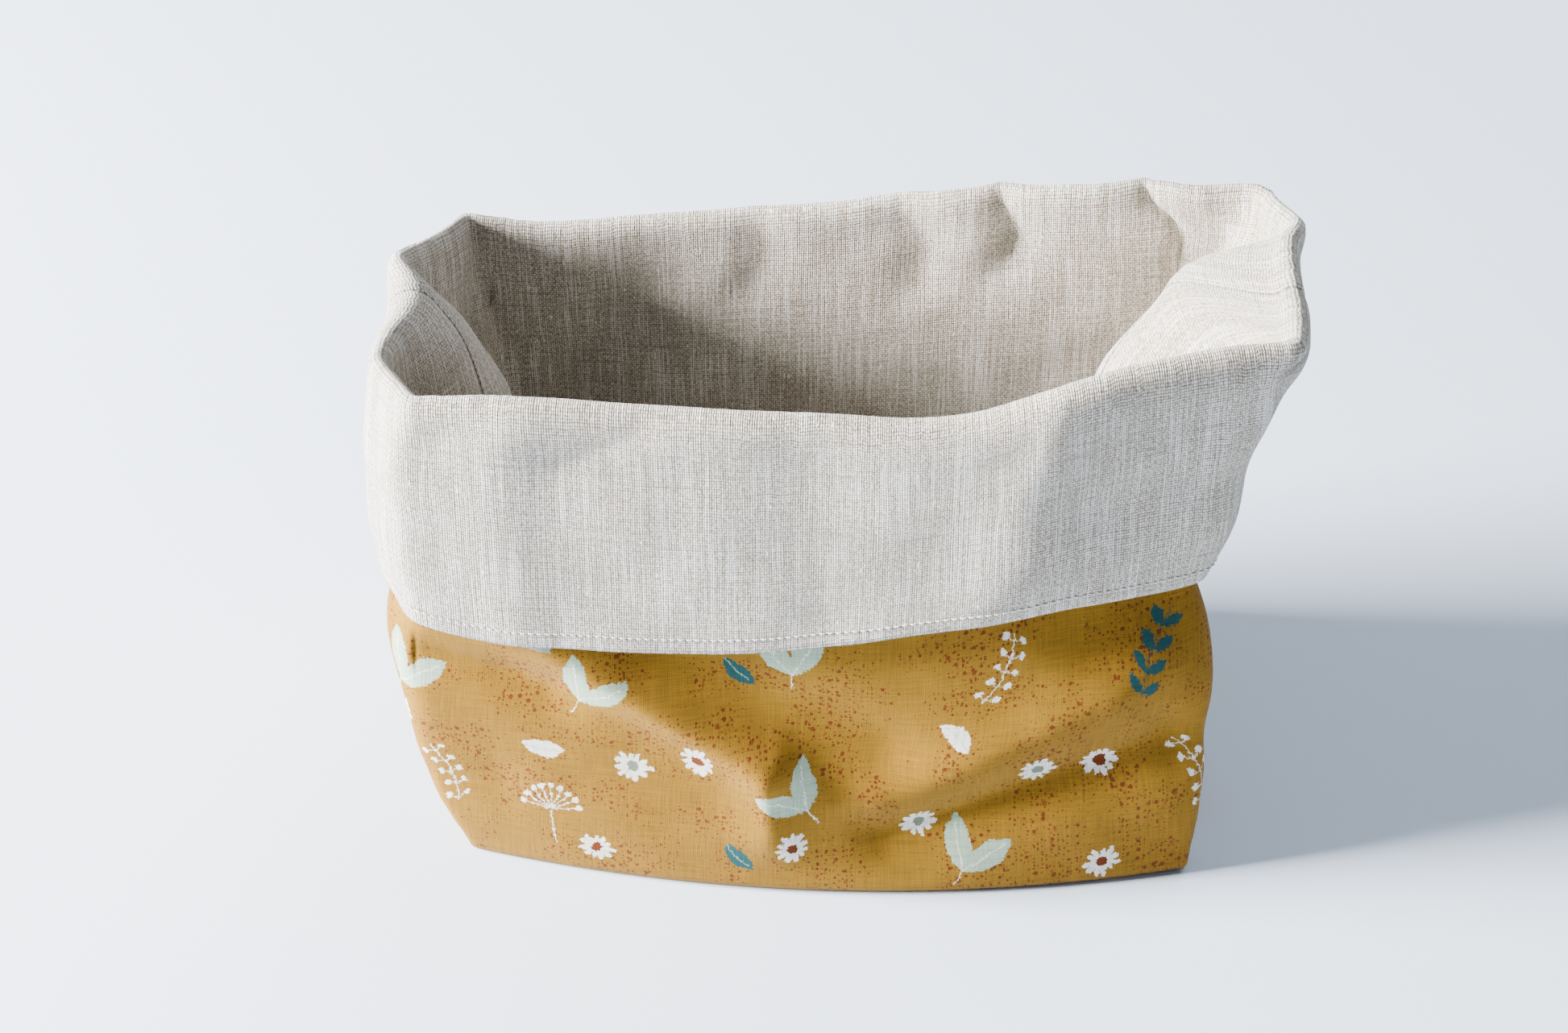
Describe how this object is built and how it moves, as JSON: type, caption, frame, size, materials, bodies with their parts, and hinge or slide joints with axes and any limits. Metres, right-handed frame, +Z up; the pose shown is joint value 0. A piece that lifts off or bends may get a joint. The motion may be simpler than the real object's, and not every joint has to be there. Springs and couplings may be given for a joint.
{
  "type": "bread bag",
  "caption": "Open-topped cloth bread bag on a flat boxed base, printed cotton outside with a plain linen lining turned over the rim as a deep cuff, to keep a loaf in.",
  "frame": {"origin": "Centre of the bounding box in plan, at the height of the surface that the bag stands on.", "axes": "+X runs along the bag's long side to the viewer's right, +Y from the front panel to the back panel, +Z up."},
  "size_m": [0.2918, 0.1746, 0.194],
  "materials": {
    "cotton": "matt printed cotton",
    "linen": "matt natural linen"
  },
  "bodies": {
    "root": {"outer_front": "cotton", "outer_back": "cotton", "lining_front": "linen", "lining_back": "linen"}
  },
  "joints": []
}
